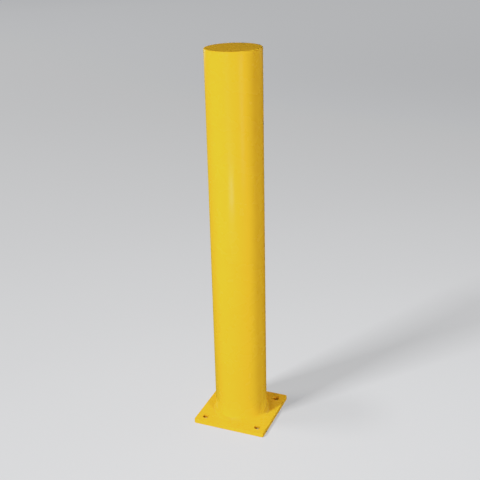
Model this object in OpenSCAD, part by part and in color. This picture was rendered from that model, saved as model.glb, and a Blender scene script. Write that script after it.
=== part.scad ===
// Safety bollard that stands on a floor: a round steel post, closed by a welded cap
// and welded to a square base plate with four anchor holes.
// Sizes are in millimetres. +Z is up, and the origin is the centre of the plate's underside.

/* [Post] */
// Outside diameter of the post tube
post_d = 139.7; // [114.3:0.1:152.4]
// Wall thickness of the post tube
post_wall = 5; // [4:0.5:10]
// Height of the finished bollard above the floor
bollard_h = 1000; // [600:10:1400]

/* [Base plate] */
// Length of each side of the square plate
plate_side = 200; // [200:5:300]
// Thickness of the plate
plate_t = 12; // [8:1:25]
// Radius of the plate's four corners, seen from above
plate_corner_r = 5; // [3:0.5:12]
// Radius rolled onto the plate's top and bottom edges
plate_edge_r = 1; // [0.5:0.25:1.5]
// Diameter of each anchor hole
anchor_d = 18; // [10:1:22]
// Distance from a side of the plate to the centre of an anchor hole
anchor_inset = 25; // [20:1:28]
// Width of the chamfer round the mouth of an anchor hole
anchor_chamfer = 0.8; // [0.4:0.1:1.5]
// Diameter of the vent hole that drains the post through the plate
vent_d = 40; // [20:1:80]

/* [Cap] */
// Thickness of the disc that closes the post
cap_t = 6; // [6:0.5:12]
// Radius of the cap's top edge
cap_edge_r = 2; // [0.5:0.25:2.5]

/* [Welds] */
// Length of each leg of the fillet weld round the foot of the post
foot_weld_leg = 8; // [5:0.5:10]
// Depth by which the fillet weld's face is hollow
foot_weld_hollow = 0.8; // [0.2:0.1:1.2]
// Height of the step at each toe of the fillet weld
foot_weld_toe = 0.4; // [0.2:0.1:0.6]
// Depth of the groove that the cap's seam weld fills
seam_depth = 3.5; // [2:0.25:3.5]
// Full angle of that groove
seam_angle = 60; // [45:5:60]
// Width by which the seam weld laps over each side of the groove
seam_lap = 0.6; // [0.3:0.1:0.8]
// Height by which the seam weld stands proud of the post
seam_crown = 0.4; // [0.2:0.1:0.8]

/* [Hidden] */
$fn = 128;
safety_yellow = [0.906, 0.773, 0.18];

// Length by which a cutting tool runs past the face that it cuts
overrun = 1;

post_r = post_d / 2;
bore_r = post_r - post_wall;
seam_z = bollard_h - cap_t;
seam_half_w = seam_depth * tan(seam_angle / 2);
anchor_offset = plate_side / 2 - anchor_inset;

// Radius of the arc that rises this far above its chord
function arc_radius(chord, rise) = chord * chord / (8 * rise) + rise / 2;

// Quarter of a disc, in the corner between +X and +Y
module quarter_disc(r) {
    intersection() {
        circle(r);
        square(r);
    }
}

// Outline of a square whose corners have this radius
module rounded_square(side, r) {
    square([side - 2 * r, side], center = true);
    square([side, side - 2 * r], center = true);
    for (x = [-1, 1], y = [-1, 1])
        translate([x, y] * (side / 2 - r)) circle(r);
}

// Top layer of a square plate, as thick as the radius of its rolled edge
module rolled_edge_layer(side, corner_r, edge_r) {
    run = side - 2 * corner_r;
    linear_extrude(edge_r) rounded_square(side - 2 * edge_r, corner_r - edge_r);
    for (turn = [0:90:270]) rotate([0, 0, turn]) {
        translate([side / 2 - edge_r, run / 2, 0])
            rotate([90, 0, 0]) linear_extrude(run) quarter_disc(edge_r);
        translate([run / 2, run / 2, 0])
            rotate_extrude(angle = 90) translate([corner_r - edge_r, 0]) quarter_disc(edge_r);
    }
}

// Plate before drilling, with both of its outer edges rolled
module plate_blank() {
    translate([0, 0, plate_edge_r]) {
        linear_extrude(plate_t - 2 * plate_edge_r) rounded_square(plate_side, plate_corner_r);
        mirror([0, 0, 1]) rolled_edge_layer(plate_side, plate_corner_r, plate_edge_r);
    }
    translate([0, 0, plate_t - plate_edge_r])
        rolled_edge_layer(plate_side, plate_corner_r, plate_edge_r);
}

// Cutter for one anchor hole, with the chamfer round its mouth
module anchor_hole() {
    translate([0, 0, -overrun]) cylinder(h = plate_t + 2 * overrun, d = anchor_d);
    translate([0, 0, plate_t - anchor_chamfer])
        cylinder(h = anchor_chamfer + overrun, d1 = anchor_d,
                 d2 = anchor_d + 2 * (anchor_chamfer + overrun));
}

// Plate drilled for its anchors, and for the vent below the post
module base_plate() {
    color(safety_yellow) difference() {
        plate_blank();
        for (x = [-1, 1], y = [-1, 1])
            translate([x * anchor_offset, y * anchor_offset, 0]) anchor_hole();
        translate([0, 0, -overrun]) cylinder(h = plate_t + 2 * overrun, d = vent_d);
    }
}

// Fillet weld in the corner between the post and the plate, with a hollow face
module foot_weld() {
    face_r = arc_radius((foot_weld_leg - foot_weld_toe) * sqrt(2), foot_weld_hollow);
    reach = (foot_weld_leg + foot_weld_toe) / 2 + (face_r - foot_weld_hollow) / sqrt(2);
    color(safety_yellow) translate([0, 0, plate_t]) rotate_extrude()
        translate([post_r, 0]) difference() {
            square(foot_weld_leg);
            translate([reach, reach]) circle(face_r);
        }
}

// Tube with its top end bevelled for the seam weld
module post_tube() {
    color(safety_yellow) rotate_extrude() polygon([
        [bore_r, plate_t],
        [post_r, plate_t],
        [post_r, seam_z - seam_half_w],
        [post_r - seam_depth, seam_z],
        [bore_r, seam_z]
    ]);
}

// Seam weld that fills the groove between the post and the cap, with a low crown
module cap_weld() {
    crown_r = arc_radius(2 * (seam_half_w + seam_lap), seam_crown);
    color(safety_yellow) translate([0, 0, seam_z]) rotate_extrude() {
        polygon([
            [post_r - seam_depth, 0],
            [post_r, -seam_half_w],
            [post_r, seam_half_w]
        ]);
        intersection() {
            translate([post_r + seam_crown - crown_r, 0]) circle(crown_r);
            translate([post_r, -cap_t]) square([seam_crown + overrun, 2 * cap_t]);
        }
    }
}

// Disc as wide as the post, bevelled below for the seam weld and rounded above
module top_cap() {
    shoulder_r = post_r - cap_edge_r;
    shoulder_z = bollard_h - cap_edge_r;
    color(safety_yellow) rotate_extrude() {
        polygon([
            [0, seam_z],
            [post_r - seam_depth, seam_z],
            [post_r, seam_z + seam_half_w],
            [post_r, shoulder_z],
            [shoulder_r, shoulder_z],
            [shoulder_r, bollard_h],
            [0, bollard_h]
        ]);
        translate([shoulder_r, shoulder_z]) quarter_disc(cap_edge_r);
    }
}

base_plate();
foot_weld();
post_tube();
cap_weld();
top_cap();
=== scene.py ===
import math

import bmesh
import bpy
from mathutils import Matrix, Quaternion, Vector

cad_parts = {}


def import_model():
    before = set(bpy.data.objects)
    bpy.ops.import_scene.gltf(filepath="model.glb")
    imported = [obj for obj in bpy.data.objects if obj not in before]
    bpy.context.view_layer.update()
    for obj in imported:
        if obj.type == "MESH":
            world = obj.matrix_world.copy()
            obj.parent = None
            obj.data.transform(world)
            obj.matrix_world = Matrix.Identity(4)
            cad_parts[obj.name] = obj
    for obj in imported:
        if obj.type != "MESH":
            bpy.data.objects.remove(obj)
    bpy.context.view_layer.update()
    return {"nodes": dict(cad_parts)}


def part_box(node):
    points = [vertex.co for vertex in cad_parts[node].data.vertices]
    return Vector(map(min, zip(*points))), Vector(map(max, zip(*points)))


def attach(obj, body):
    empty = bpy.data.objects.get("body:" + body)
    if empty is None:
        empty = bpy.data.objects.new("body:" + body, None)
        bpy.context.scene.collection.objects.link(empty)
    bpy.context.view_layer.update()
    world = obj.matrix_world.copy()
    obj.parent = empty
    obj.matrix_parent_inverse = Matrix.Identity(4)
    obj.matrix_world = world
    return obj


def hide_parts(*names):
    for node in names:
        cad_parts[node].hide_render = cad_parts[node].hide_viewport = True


bl_info = {
    "name": "Safety Bollard",
    "version": (1, 0, 0),
    "blender": (4, 5, 0),
    "location": "3D View > Sidebar > Bollard",
    "description": "Finishes a floor-mounted safety bollard and sets up the studio that it is shown in",
    "category": "Object",
}

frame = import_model()

BODY = "root"
MM = 0.001
# Steps round the post, and the angle from which an edge is drawn sharp
AROUND = 256
SHARP_ANGLE = math.radians(35)

# Sizes that the frame gives, in metres
POST_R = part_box("post_tube")[1].x
PLATE_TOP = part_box("post_tube")[0].z
SEAM_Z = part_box("post_tube")[1].z
FOOT_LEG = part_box("foot_weld")[1].x - POST_R
SEAM_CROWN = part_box("cap_weld")[1].x - POST_R
SEAM_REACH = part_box("cap_weld")[1].z - SEAM_Z
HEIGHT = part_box("top_cap")[1].z


def smallest_radius(node, lowest, highest):
    """Least distance from the post's axis to a CAD node's corners between two heights"""
    corners = (v.co for v in frame["nodes"][node].data.vertices)
    return min(math.hypot(c.x, c.y) for c in corners if lowest <= c.z <= highest)


BORE_R = smallest_radius("post_tube", PLATE_TOP, SEAM_Z)
VENT_R = smallest_radius("base_plate", 0.0, PLATE_TOP)
GROOVE_ROOT_R = smallest_radius("cap_weld", SEAM_Z - SEAM_REACH, SEAM_Z + SEAM_REACH)

# Studio, in metres. A place is (azimuth in degrees, distance from the post, height).
RING_DISTANCE = 2.1
TALL, SHORT, WIDE = (0.35, 1.5), (0.35, 1.1), (0.5, 1.0)
# Softboxes on the ring: (setting with the power, share of it, size, azimuth, height)
RING = {
    "key": ("key_power", 1.0, TALL, -24, 1.7),
    "low": ("low_power", 1.0, TALL, -4, 0.6),
    "fill": ("fill_power", 1.0, SHORT, 50, 0.57),
    "back_left": ("back_power", 1.0, WIDE, 236, 1.1),
    "back_right": ("back_power", 0.3, WIDE, 152, 1.1),
}
STREAK_SIZE, STREAK_PLACE, STREAK_AIM = (0.25, 0.10), (2.3, 0.9, 0.385), (0, 0, 0.6)
SHADE_SIZE, SHADE_PLACE = (2.5, 2.5), (-33, 10.2, 9.6)
OVERHEAD_SIZE, OVERHEAD_PLACE, OVERHEAD_SHARE = (0.6, 0.6), (-70, 1.5, 6.0), 0.045
FLOOR_R = 40.0
FLOOR_COLOUR = (0.297, 0.30, 0.307, 1.0)
ROOM_COLOUR = (0.988, 1.0, 1.024, 1.0)
# Spot on the floor, beside the camera's foot, where the floor's painted light is brightest
PAINTED_LIGHT_SPOT = (1.75, -1.37, 0)


# Settings that a user would change

class BollardCoatSettings(bpy.types.PropertyGroup):
    """The powder coating and the bare steel inside the post"""
    colour: bpy.props.FloatVectorProperty(
        name="Coat Colour", description="Colour of the powder coating",
        subtype="COLOR", size=3, min=0.0, max=1.0, default=(0.863, 0.496, 0.0256))
    roughness: bpy.props.FloatProperty(
        name="Coat Roughness", description="Roughness of the coating's body",
        min=0.0, max=1.0, default=0.27)
    softness: bpy.props.FloatProperty(
        name="Softness", description="How evenly the coating's pigment scatters light",
        min=0.0, max=1.0, default=1.0)
    gloss: bpy.props.FloatProperty(
        name="Gloss", description="Weight of the clear gloss on top of the coating",
        min=0.0, max=1.0, default=0.20)
    gloss_roughness: bpy.props.FloatProperty(
        name="Gloss Roughness", description="Roughness of the clear gloss",
        min=0.0, max=1.0, default=0.10)
    peel_size: bpy.props.FloatProperty(
        name="Peel Size", description="Distance between the bumps of the coating's orange peel",
        unit="LENGTH", min=0.0005, max=0.02, default=2.6 * MM)
    peel_depth: bpy.props.FloatProperty(
        name="Peel Depth", description="Height of the coating's orange peel",
        unit="LENGTH", min=0.0, max=0.001, default=0.006 * MM)
    steel_colour: bpy.props.FloatVectorProperty(
        name="Steel Colour", description="Colour of the uncoated steel inside the post",
        subtype="COLOR", size=3, min=0.0, max=1.0, default=(0.17, 0.165, 0.16))
    overspray: bpy.props.FloatProperty(
        name="Overspray", description="Distance that the coating drifts in through the vent hole",
        unit="LENGTH", min=0.001, max=0.2, default=0.03)


class BollardBeadSettings(bpy.types.PropertyGroup):
    """The two weld beads, which show through the coating"""
    pitch: bpy.props.FloatProperty(
        name="Ripple Pitch", description="Distance between the ripples of the foot bead",
        unit="LENGTH", min=0.001, max=0.01, default=3.2 * MM)
    height: bpy.props.FloatProperty(
        name="Ripple Height", description="Height of the foot bead's ripples under the coating",
        unit="LENGTH", min=0.0, max=0.001, default=0.22 * MM)
    wander: bpy.props.FloatProperty(
        name="Wander", description="Share by which a bead's width wanders along its length",
        subtype="FACTOR", min=0.0, max=0.3, default=0.05)
    seam_ripple: bpy.props.FloatProperty(
        name="Seam Ripple", description="Unevenness left on the cap's seam after it was ground",
        unit="LENGTH", min=0.0, max=0.001, default=0.05 * MM)


class BollardStageSettings(bpy.types.PropertyGroup):
    """The floor, the lights and the camera"""
    far_grey: bpy.props.FloatProperty(
        name="Far Grey", description="Brightness of the floor and the room far behind the bollard",
        min=0.0, max=2.0, default=0.40)
    ambient: bpy.props.FloatProperty(
        name="Ambient", description="Strength of the light from all round the room",
        min=0.0, max=2.0, default=0.005)
    key_power: bpy.props.FloatProperty(
        name="Key Power", description="Power of the strip softbox to the left of the camera",
        unit="POWER", min=0.0, max=1000.0, default=56.3)
    low_power: bpy.props.FloatProperty(
        name="Low Power", description="Power of the low strip softbox between the key and the camera",
        unit="POWER", min=0.0, max=1000.0, default=14.9)
    fill_power: bpy.props.FloatProperty(
        name="Fill Power", description="Power of the strip softbox to the right of the camera",
        unit="POWER", min=0.0, max=1000.0, default=30.5)
    back_power: bpy.props.FloatProperty(
        name="Back Power",
        description="Power of the softbox at the back left, which a weaker one at the right follows",
        unit="POWER", min=0.0, max=1000.0, default=50.0)
    streak_power: bpy.props.FloatProperty(
        name="Streak Power", description="Power of the low lamp that the front of the post mirrors",
        unit="POWER", min=0.0, max=100.0, default=0.24)
    shine: bpy.props.FloatProperty(
        name="Shine", description="Share of the softboxes' light that the gloss reflects",
        subtype="FACTOR", min=0.0, max=1.0, default=0.04)
    floor_power: bpy.props.FloatProperty(
        name="Floor Power", description="Power of the lamp that throws the shadow on the floor",
        unit="POWER", min=0.0, max=5000.0, default=2700.0)
    camera_place: bpy.props.FloatVectorProperty(
        name="Camera Place", description="Where the camera stands",
        subtype="TRANSLATION", unit="LENGTH", size=3, default=(0.7408, -1.8181, 1.3036))
    camera_target: bpy.props.FloatVectorProperty(
        name="Camera Target", description="Point that the camera looks at",
        subtype="TRANSLATION", unit="LENGTH", size=3, default=(-0.1223, 0.1338, 0.4461))
    camera_roll: bpy.props.FloatProperty(
        name="Camera Roll", description="Turn of the camera about its line of sight",
        subtype="ANGLE", default=math.radians(-1.976))
    focal_length: bpy.props.FloatProperty(
        name="Focal Length", description="Focal length of the camera's lens",
        unit="CAMERA", min=1.0, max=500.0, default=61.97)
    lens_shift: bpy.props.FloatProperty(
        name="Lens Shift", description="Sideways shift of the lens, as a share of the picture's width",
        min=-1.0, max=1.0, default=0.052)


# Meshes

def finished(obj, material, replaced):
    """Gives a new piece its finish, and puts it on the bollard's body in place of a CAD node"""
    obj.data.materials.append(material)
    obj.data.polygons.foreach_set("use_smooth", [True] * len(obj.data.polygons))
    obj.data.set_sharp_from_angle(angle=SHARP_ANGLE)
    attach(obj, BODY)
    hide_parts(replaced)
    return obj


def ring_mesh(name, section, steps):
    """Closed ring about Z: section(angle) gives its outline there as (radius, height) points"""
    mesh = bmesh.new()
    rings = []
    for step in range(steps):
        angle = 2 * math.pi * step / steps
        turn = Vector((math.cos(angle), math.sin(angle)))
        rings.append([mesh.verts.new((turn.x * r, turn.y * r, z)) for r, z in section(angle)])
    for here, after in zip(rings, rings[1:] + rings[:1]):
        for i in range(len(here)):
            j = (i + 1) % len(here)
            mesh.faces.new((here[i], after[i], after[j], here[j]))
    bmesh.ops.recalc_face_normals(mesh, faces=mesh.faces)
    data = bpy.data.meshes.new(name)
    mesh.to_mesh(data)
    mesh.free()
    obj = bpy.data.objects.new(name, data)
    bpy.context.collection.objects.link(obj)
    return obj


def arc_rise(share, rise):
    """Height of a shallow arc above its chord, at a share of the chord's length"""
    return 4 * rise * share * (1 - share)


def wander(angle, turns):
    """Slow change along a bead, from -1 to 1, that closes after one turn"""
    waves = ((1.0, turns, 0.4), (0.6, 2 * turns + 1, 1.9), (0.4, 5 * turns + 2, 4.1))
    total = sum(size for size, _, _ in waves)
    return sum(size * math.sin(count * angle + phase) for size, count, phase in waves) / total


def wandering(most, share, angle, turns):
    """Size of a bead at an angle: it wanders by a share either way, and never passes its most"""
    return most * (1 + share * (wander(angle, turns) - 1))


def foot_section(angle, bead):
    """Outline of the fillet weld at an angle: a hollow face with ripples, on the plate and post"""
    across = 14
    toe = 0.25 * MM
    leg = wandering(FOOT_LEG, bead.wander, angle, 5)
    hollow = 0.09 * leg
    ripples = round(2 * math.pi * (POST_R + leg / 2) / bead.pitch)
    # A ripple lags at its ends, which bows it, and its lag strays a little along the bead
    bow, stray = 0.9, 0.12
    # Power that rounds the ripple's crest
    roundness = 0.7
    out = Vector((1, 1)).normalized()
    points = []
    for i in range(across + 1):
        share = i / across
        middle = arc_rise(share, 1)
        lag = bow * (1 - middle) + stray * wander(angle, 17)
        phase = (ripples * angle / (2 * math.pi) - lag) % 1.0
        ripple = bead.height * middle * (math.sin(math.pi * phase) ** roundness - 0.5)
        flat = Vector((leg, toe)).lerp(Vector((toe, leg)), share)
        place = flat + out * (ripple - arc_rise(share, hollow))
        points.append((POST_R + place.x, PLATE_TOP + place.y))
    return [(POST_R, PLATE_TOP), (POST_R + leg, PLATE_TOP), *points, (POST_R, PLATE_TOP + leg)]


def seam_section(angle, bead):
    """Outline of the seam weld at an angle: a low ground crown over the groove that it fills"""
    across = 10
    # The marks of the grinder lean by this angle across the seam
    lean = 0.02
    crown_change = 0.1
    reach = wandering(SEAM_REACH, bead.wander, angle, 7)
    crown = wandering(SEAM_CROWN, crown_change, angle, 11)
    points = []
    for i in range(across + 1):
        share = i / across
        uneven = arc_rise(share, bead.seam_ripple * wander(angle + lean * share, 61))
        points.append((POST_R + arc_rise(share, crown) + uneven,
                       SEAM_Z + reach * (2 * share - 1)))
    return [(GROOVE_ROOT_R, SEAM_Z), *points]


def post_section():
    """Outline of the tube's wall, bevelled at its top for the seam weld"""
    bevel_angle = math.radians(30)
    groove = SEAM_Z - (POST_R - GROOVE_ROOT_R) * math.tan(bevel_angle)
    eased = 0.1 * MM
    rows = 12
    outside = [(POST_R, PLATE_TOP + eased + (groove - PLATE_TOP - eased) * i / rows)
               for i in range(rows + 1)]
    inside = [(BORE_R, SEAM_Z + (PLATE_TOP - SEAM_Z) * i / rows) for i in range(rows + 1)]
    return [(POST_R - eased, PLATE_TOP), *outside, (GROOVE_ROOT_R, SEAM_Z), *inside]


# Materials

def new_group(name, inputs, outputs):
    """Empty shader node group with float sockets: inputs is {name: default}"""
    group = bpy.data.node_groups.new(name, "ShaderNodeTree")
    for label, value in inputs.items():
        socket = group.interface.new_socket(label, in_out="INPUT", socket_type="NodeSocketFloat")
        socket.default_value = value
    for label in outputs:
        group.interface.new_socket(label, in_out="OUTPUT", socket_type="NodeSocketFloat")
    return group, group.nodes.new("NodeGroupInput"), group.nodes.new("NodeGroupOutput")


def maths(tree, operation, *values, clamp=False):
    """Output of a Math node whose inputs are sockets or plain numbers"""
    node = tree.nodes.new("ShaderNodeMath")
    node.operation = operation
    node.use_clamp = clamp
    for socket, value in zip(node.inputs, values):
        if isinstance(value, bpy.types.NodeSocket):
            tree.links.new(value, socket)
        else:
            socket.default_value = value
    return node.outputs[0]


def object_place(tree):
    """The point's place in the bollard's own frame"""
    return tree.nodes.new("ShaderNodeTexCoord").outputs["Object"]


def noise(tree, place, scale, detail=2.0, roughness=0.5):
    """Noise from 0 to 1; scale is a socket or a number of bumps in a metre"""
    node = tree.nodes.new("ShaderNodeTexNoise")
    node.inputs["Detail"].default_value = detail
    node.inputs["Roughness"].default_value = roughness
    tree.links.new(place, node.inputs["Vector"])
    if isinstance(scale, bpy.types.NodeSocket):
        tree.links.new(scale, node.inputs["Scale"])
    else:
        node.inputs["Scale"].default_value = scale
    return node.outputs["Fac"]


def powder_coat_group():
    """Orange peel of the coating, with its slow changes of tone and of gloss"""
    group, given, made = new_group(
        "Powder Coat",
        {"Peel Size": 2.6 * MM, "Peel Depth": 0.006 * MM, "Unevenness": 1.0},
        ("Height", "Tone", "Gloss Change"))
    # Bumps in a metre of the tone's clouds and specks, and of the patches of gloss
    clouds, specks, patches = 9.0, 700.0, 26.0
    speck_weight = 0.2
    # The swell under the peel has this share of the peel's bumps, and is this much higher
    swell_pitch, swell_height = 0.22, 1.6
    place = object_place(group)
    per_metre = maths(group, "DIVIDE", 1.0, given.outputs["Peel Size"])
    peel = noise(group, place, per_metre, detail=1.5, roughness=0.45)
    swell = noise(group, place, maths(group, "MULTIPLY", per_metre, swell_pitch), detail=1.0)
    both = maths(group, "MULTIPLY_ADD", swell, swell_height, peel)
    height = maths(group, "MULTIPLY", both, given.outputs["Peel Depth"])
    cloud = maths(group, "SUBTRACT", noise(group, place, clouds, detail=3.0, roughness=0.55), 0.5)
    speck = maths(group, "SUBTRACT", noise(group, place, specks, detail=1.0), 0.5)
    tone = maths(group, "MULTIPLY_ADD", speck, speck_weight, cloud)
    gloss = maths(group, "SUBTRACT", noise(group, place, patches, detail=3.0), 0.5)
    group.links.new(height, made.inputs["Height"])
    group.links.new(maths(group, "MULTIPLY", tone, given.outputs["Unevenness"]), made.inputs["Tone"])
    group.links.new(maths(group, "MULTIPLY", gloss, given.outputs["Unevenness"]),
                    made.inputs["Gloss Change"])
    return group


def inside_post_group():
    """Mask of the surfaces inside the post, which the coating hardly reaches"""
    group, given, made = new_group(
        "Inside of Post",
        {"Bore Radius": 0.065, "Bottom": 0.012, "Top": 0.994, "Vent Radius": 0.02, "Overspray": 0.03},
        ("Bare",))
    split = group.nodes.new("ShaderNodeSeparateXYZ")
    group.links.new(object_place(group), split.inputs[0])
    squares = [maths(group, "POWER", split.outputs[i], 2.0) for i in (0, 1)]
    radius = maths(group, "SQRT", maths(group, "ADD", *squares))
    height = split.outputs[2]
    in_bore = maths(group, "LESS_THAN", radius, given.outputs["Bore Radius"])
    above = maths(group, "GREATER_THAN", height, given.outputs["Bottom"])
    below = maths(group, "LESS_THAN", height, given.outputs["Top"])
    hidden = maths(group, "MULTIPLY", in_bore, maths(group, "MULTIPLY", above, below))
    from_vent = maths(group, "SUBTRACT", radius, given.outputs["Vent Radius"])
    from_floor = maths(group, "SUBTRACT", height, given.outputs["Bottom"])
    drift = maths(group, "MAXIMUM", from_vent, from_floor)
    # The overspray fades out in grains: this many in a metre, and this far either way
    grains, spread = 900.0, 0.4
    grain = noise(group, object_place(group), grains, detail=2.0)
    stray = maths(group, "MULTIPLY_ADD", grain, 2 * spread, -spread)
    faded = maths(group, "DIVIDE", drift, given.outputs["Overspray"])
    cover = maths(group, "ADD", faded, stray, clamp=True)
    group.links.new(maths(group, "MULTIPLY", hidden, cover), made.inputs["Bare"])
    return group


def colour_mix(tree, factor, first, second, blend="MIX"):
    """Output of a colour Mix node; first and second are sockets or colours"""
    node = tree.nodes.new("ShaderNodeMix")
    node.data_type = "RGBA"
    node.blend_type = blend
    sockets = {s.identifier: s for s in node.inputs}
    for key, value in (("Factor_Float", factor), ("A_Color", first), ("B_Color", second)):
        if isinstance(value, bpy.types.NodeSocket):
            tree.links.new(value, sockets[key])
        elif key == "Factor_Float":
            sockets[key].default_value = value
        else:
            sockets[key].default_value = (*value, 1.0)
    return next(s for s in node.outputs if s.identifier == "Result_Color")


def group_node(tree, group, **values):
    """A group placed in a material, with its own values"""
    node = tree.nodes.new("ShaderNodeGroup")
    node.node_tree = group
    for label, value in values.items():
        node.inputs[label.replace("_", " ")].default_value = value
    return node


def shader_of(material):
    """The Principled BSDF of a material"""
    return next(n for n in material.node_tree.nodes if n.type == "BSDF_PRINCIPLED")


def coat_material(name, coat, powder, peel_depth, unevenness, inside=None):
    """Yellow powder coating; inside is the mask group of a piece that also shows bare steel"""
    material = bpy.data.materials.new(name)
    material.use_nodes = True
    tree = material.node_tree
    shader = shader_of(material)
    # How far the coating's tone and roughness stray, and what bare steel adds to the roughness
    tone_change, gloss_change = 0.10, 0.10
    steel_roughness, steel_metallic = 0.25, 0.6
    shader.inputs["Diffuse Roughness"].default_value = coat.softness
    shader.inputs["Coat Weight"].default_value = coat.gloss
    shader.inputs["Coat Roughness"].default_value = coat.gloss_roughness
    surface = group_node(tree, powder, Peel_Size=coat.peel_size, Peel_Depth=peel_depth,
                         Unevenness=unevenness)
    light = maths(tree, "MULTIPLY_ADD", surface.outputs["Tone"], tone_change, 1.0)
    grey = tree.nodes.new("ShaderNodeCombineXYZ")
    for socket in grey.inputs:
        tree.links.new(light, socket)
    colour = colour_mix(tree, 1.0, tuple(coat.colour), grey.outputs[0], blend="MULTIPLY")
    rough = maths(tree, "MULTIPLY_ADD", surface.outputs["Gloss Change"], gloss_change,
                  coat.roughness)
    if inside:
        margin = 0.5 * MM
        mask = group_node(tree, inside, Bore_Radius=BORE_R + margin, Bottom=PLATE_TOP - margin,
                          Top=SEAM_Z + margin, Vent_Radius=VENT_R, Overspray=coat.overspray)
        bare = mask.outputs["Bare"]
        colour = colour_mix(tree, bare, colour, tuple(coat.steel_colour))
        rough = maths(tree, "MULTIPLY_ADD", bare, steel_roughness, rough)
        tree.links.new(maths(tree, "MULTIPLY", bare, steel_metallic), shader.inputs["Metallic"])
    tree.links.new(colour, shader.inputs["Base Color"])
    tree.links.new(rough, shader.inputs["Roughness"])
    bump = tree.nodes.new("ShaderNodeBump")
    bump.inputs["Distance"].default_value = 1.0
    tree.links.new(surface.outputs["Height"], bump.inputs["Height"])
    tree.links.new(bump.outputs["Normal"], shader.inputs["Normal"])
    return material


def materials():
    """The finishes, made once: {"coat": material, "bead": material}"""
    coat = bpy.context.scene.bollard_coat
    # Over a bead the coating is rougher and less even than on flat steel
    bead_peel, bead_unevenness = 1.5, 1.4
    if "Powder Coat" not in bpy.data.node_groups:
        powder, inside = powder_coat_group(), inside_post_group()
        coat_material("coated_steel", coat, powder, coat.peel_depth, 1.0, inside)
        coat_material("coated_weld", coat, powder, bead_peel * coat.peel_depth, bead_unevenness)
    return {"coat": bpy.data.materials["coated_steel"], "bead": bpy.data.materials["coated_weld"]}


# Stage

def aim(obj, place, target, roll=0.0):
    """Puts a lamp or the camera at a place, turned towards a target"""
    sight = Vector(target) - Vector(place)
    turn = sight.to_track_quat("-Z", "Y") @ Quaternion((0, 0, 1), roll)
    obj.matrix_world = Matrix.Translation(place) @ turn.to_matrix().to_4x4()


def round_the_post(azimuth, distance, height):
    """Place at an azimuth in degrees, counted as the views count it, and a distance from the post"""
    a = math.radians(azimuth)
    return Vector((distance * math.sin(a), -distance * math.cos(a), height))


def area_lamp(name, power, size, place, target, lit, shows):
    """Lamp out of the camera's sight that lights one collection; shows puts it in reflections"""
    data = bpy.data.lights.new(name, "AREA")
    data.energy = power
    data.shape = "RECTANGLE"
    data.size, data.size_y = size
    lamp = bpy.data.objects.new(name, data)
    bpy.context.collection.objects.link(lamp)
    lamp.visible_camera = False
    lamp.visible_glossy = shows
    lamp.light_linking.receiver_collection = lit
    aim(lamp, place, target)


def softbox(name, power, size, place, target, lit, shine=1.0):
    """Rectangular light; shine is the share of its power that the gloss reflects"""
    for part, share, shows in ((name, shine, True), (name + "_soft", 1 - shine, False)):
        if share > 0:
            area_lamp(part, power * share, size, place, target, lit, shows)


def lit_collection(name, objects):
    """Collection that a lamp's light is kept to"""
    group = bpy.data.collections.new(name)
    for obj in objects:
        group.objects.link(obj)
    return group


def lamps(stage, ground):
    """The studio's lamps: those round the bollard light it alone, and two more light the floor"""
    meshes = [obj for obj in bpy.context.scene.objects if obj.type == "MESH" and obj != ground]
    bollard = lit_collection("lit_bollard", meshes)
    floor_only = lit_collection("lit_floor", [ground])
    middle = (0, 0, 0.5 * HEIGHT)
    foot = (0, 0, 0)
    for name, (setting, share, size, azimuth, height) in RING.items():
        softbox(name, share * getattr(stage, setting), size,
                round_the_post(azimuth, RING_DISTANCE, height), middle, bollard,
                shine=stage.shine)
    softbox("streak", stage.streak_power, STREAK_SIZE, round_the_post(*STREAK_PLACE),
            STREAK_AIM, bollard)
    softbox("shade", stage.floor_power, SHADE_SIZE, round_the_post(*SHADE_PLACE), foot,
            floor_only)
    softbox("overhead", OVERHEAD_SHARE * stage.floor_power, OVERHEAD_SIZE,
            round_the_post(*OVERHEAD_PLACE), foot, floor_only)


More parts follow.
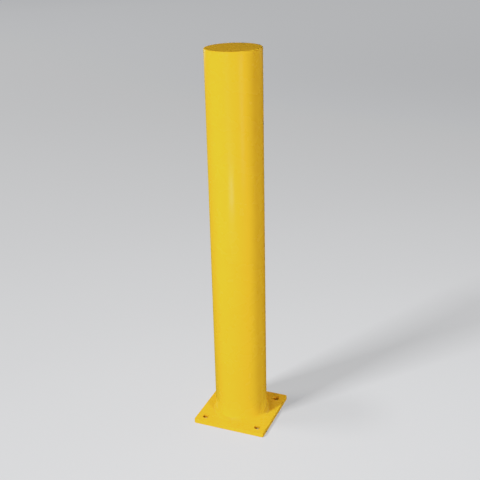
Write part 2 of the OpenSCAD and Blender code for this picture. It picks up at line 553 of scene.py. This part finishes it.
def floor_material(stage):
    """Pale floor that takes soft shadows, with a painted pool of light: a glow that only the camera
    sees, brightest near one spot and darkening all round into the far grey of the room
    """
    material = bpy.data.materials.new("studio_floor")
    material.use_nodes = True
    tree = material.node_tree
    shader = shader_of(material)
    shader.inputs["Base Color"].default_value = FLOOR_COLOUR
    shader.inputs["Roughness"].default_value = 0.9
    shader.inputs["Specular IOR Level"].default_value = 0.1
    spread = tree.nodes.new("ShaderNodeVectorMath")
    spread.operation = "DISTANCE"
    spread.inputs[1].default_value = PAINTED_LIGHT_SPOT
    tree.links.new(object_place(tree), spread.inputs[0])
    # One over (distance + lead) falls evenly up the picture, as the grey does
    lead, near, far = 0.50, 1.85, 12.9
    distance = maths(tree, "MAXIMUM", spread.outputs["Value"], near)
    nearness = maths(tree, "DIVIDE", 1.0, maths(tree, "ADD", distance, lead))
    closest, least = 1 / (near + lead), 1 / (far + lead)
    share = maths(tree, "DIVIDE", maths(tree, "SUBTRACT", nearness, least), closest - least)
    ramp = tree.nodes.new("ShaderNodeValToRGB")
    ramp.color_ramp.interpolation = "CARDINAL"
    # Painted light on the floor: the glow's strength from far off to near the spot
    painted_light_greys = (0.95, 0.715, 0.67, 0.785, 0.955, 1.09, 1.17)
    stops = ramp.color_ramp.elements
    while len(stops) < len(painted_light_greys):
        stops.new(0.5)
    for i, grey in enumerate(painted_light_greys):
        stops[i].position = i / (len(painted_light_greys) - 1)
        stops[i].color = (*[grey * stage.far_grey] * 3, 1.0)
    tree.links.new(share, ramp.inputs["Fac"])
    # The painted light is an emission that only the camera sees, so it lights nothing else
    seen = tree.nodes.new("ShaderNodeLightPath").outputs["Is Camera Ray"]
    painted_glow = tree.nodes.new("ShaderNodeEmission")
    painted_glow.inputs["Color"].default_value = ROOM_COLOUR
    tree.links.new(maths(tree, "MULTIPLY", ramp.outputs["Color"], seen), painted_glow.inputs["Strength"])
    added = tree.nodes.new("ShaderNodeAddShader")
    output = next(n for n in tree.nodes if n.type == "OUTPUT_MATERIAL")
    tree.links.new(shader.outputs[0], added.inputs[0])
    tree.links.new(painted_glow.outputs[0], added.inputs[1])
    tree.links.new(added.outputs[0], output.inputs["Surface"])
    return material


def floor(stage):
    """Wide round floor under the bollard"""
    data = bpy.data.meshes.new("studio_floor")
    mesh = bmesh.new()
    bmesh.ops.create_circle(mesh, cap_ends=True, segments=96, radius=FLOOR_R)
    mesh.to_mesh(data)
    mesh.free()
    data.materials.append(floor_material(stage))
    obj = bpy.data.objects.new("studio_floor", data)
    bpy.context.collection.objects.link(obj)
    # The floor throws no light back, so that the shaded side stays as deep as in the photograph
    obj.visible_diffuse = False
    obj.visible_glossy = False
    return obj


def world(stage):
    """Even grey room: dimmer as light on the bollard than as it is seen by the camera"""
    room = bpy.data.worlds.new("studio_room")
    bpy.context.scene.world = room
    room.use_nodes = True
    tree = room.node_tree
    background = next(n for n in tree.nodes if n.type == "BACKGROUND")
    background.inputs["Color"].default_value = ROOM_COLOUR
    seen = tree.nodes.new("ShaderNodeLightPath").outputs["Is Camera Ray"]
    strength = maths(tree, "MULTIPLY_ADD", seen, stage.far_grey - stage.ambient, stage.ambient)
    tree.links.new(strength, background.inputs["Strength"])


def camera(stage):
    """Camera at the photograph's place; its frame is a little off centre, as a cropped print is"""
    data = bpy.data.cameras.new("camera")
    data.sensor_width = 36.0
    data.lens = stage.focal_length
    data.shift_x = stage.lens_shift
    obj = bpy.data.objects.new("camera", data)
    bpy.context.collection.objects.link(obj)
    aim(obj, stage.camera_place, stage.camera_target, stage.camera_roll)
    bpy.context.scene.camera = obj


def film():
    """Plain display, whose highlights roll off early as on a print"""
    view = bpy.context.scene.view_settings
    view.view_transform = "Standard"
    view.look = "None"
    view.use_curve_mapping = True
    curves = view.curve_mapping
    curves.extend = "HORIZONTAL"
    curves.clip_max_x = 2.0
    combined = curves.curves[3]
    knee, white = (0.50, 0.50), (1.0, 0.80)
    combined.points[0].location = (0.0, 0.0)
    combined.points[1].location = white
    combined.points.new(*knee)
    for point in combined.points:
        point.handle_type = "VECTOR"
    curves.update()


# Operators

class BOLLARD_OT_coat_steel(bpy.types.Operator):
    """Powder-coat the base plate and the cap"""
    bl_idname = "bollard.coat_steel"
    bl_label = "Coat Plate and Cap"

    def execute(self, context):
        for node in ("base_plate", "top_cap"):
            data = frame["nodes"][node].data
            data.materials.clear()
            data.materials.append(materials()["coat"])
        return {"FINISHED"}


class BOLLARD_OT_make_post(bpy.types.Operator):
    """Make the post from round tube"""
    bl_idname = "bollard.make_post"
    bl_label = "Make Post"

    def execute(self, context):
        outline = post_section()
        post = ring_mesh("post", lambda angle: outline, AROUND)
        finished(post, materials()["coat"], "post_tube")
        return {"FINISHED"}


class BOLLARD_OT_make_foot_bead(bpy.types.Operator):
    """Make the fillet weld round the foot of the post"""
    bl_idname = "bollard.make_foot_bead"
    bl_label = "Make Foot Bead"

    def execute(self, context):
        bead = context.scene.bollard_beads
        obj = ring_mesh("foot_bead", lambda angle: foot_section(angle, bead), 6 * AROUND)
        finished(obj, materials()["bead"], "foot_weld")
        return {"FINISHED"}


class BOLLARD_OT_make_seam_bead(bpy.types.Operator):
    """Make the ground seam weld between the post and the cap"""
    bl_idname = "bollard.make_seam_bead"
    bl_label = "Make Seam Bead"

    def execute(self, context):
        bead = context.scene.bollard_beads
        obj = ring_mesh("seam_bead", lambda angle: seam_section(angle, bead), 3 * AROUND)
        finished(obj, materials()["bead"], "cap_weld")
        return {"FINISHED"}


class BOLLARD_OT_set_stage(bpy.types.Operator):
    """Set up the floor, the room, the lamps and the camera"""
    bl_idname = "bollard.set_stage"
    bl_label = "Set Stage"

    def execute(self, context):
        stage = context.scene.bollard_stage
        lamps(stage, floor(stage))
        world(stage)
        camera(stage)
        film()
        return {"FINISHED"}


class BOLLARD_PT_panel(bpy.types.Panel):
    """Lists the bollard's settings and steps"""
    bl_idname = "BOLLARD_PT_panel"
    bl_label = "Safety Bollard"
    bl_space_type = "VIEW_3D"
    bl_region_type = "UI"
    bl_category = "Bollard"

    def draw(self, context):
        layout = self.layout
        for owner in SETTINGS:
            settings = getattr(context.scene, owner)
            for name in settings.__annotations__:
                layout.prop(settings, name)
        for operator in OPERATORS:
            layout.operator(operator.bl_idname)


SETTINGS = {
    "bollard_coat": BollardCoatSettings,
    "bollard_beads": BollardBeadSettings,
    "bollard_stage": BollardStageSettings,
}
OPERATORS = (
    BOLLARD_OT_coat_steel,
    BOLLARD_OT_make_post,
    BOLLARD_OT_make_foot_bead,
    BOLLARD_OT_make_seam_bead,
    BOLLARD_OT_set_stage,
)


def register():
    """Registers the classes, and gives each scene its settings"""
    for cls in (*SETTINGS.values(), *OPERATORS, BOLLARD_PT_panel):
        bpy.utils.register_class(cls)
    for name, settings in SETTINGS.items():
        setattr(bpy.types.Scene, name, bpy.props.PointerProperty(type=settings))


def unregister():
    """Takes the settings and classes away again"""
    for name in SETTINGS:
        delattr(bpy.types.Scene, name)
    for cls in reversed((*SETTINGS.values(), *OPERATORS, BOLLARD_PT_panel)):
        bpy.utils.unregister_class(cls)


def main():
    """Runs each step in order"""
    register()
    for operator in OPERATORS:
        group, name = operator.bl_idname.split(".")
        getattr(getattr(bpy.ops, group), name)()


if __name__ == "__main__":
    main()
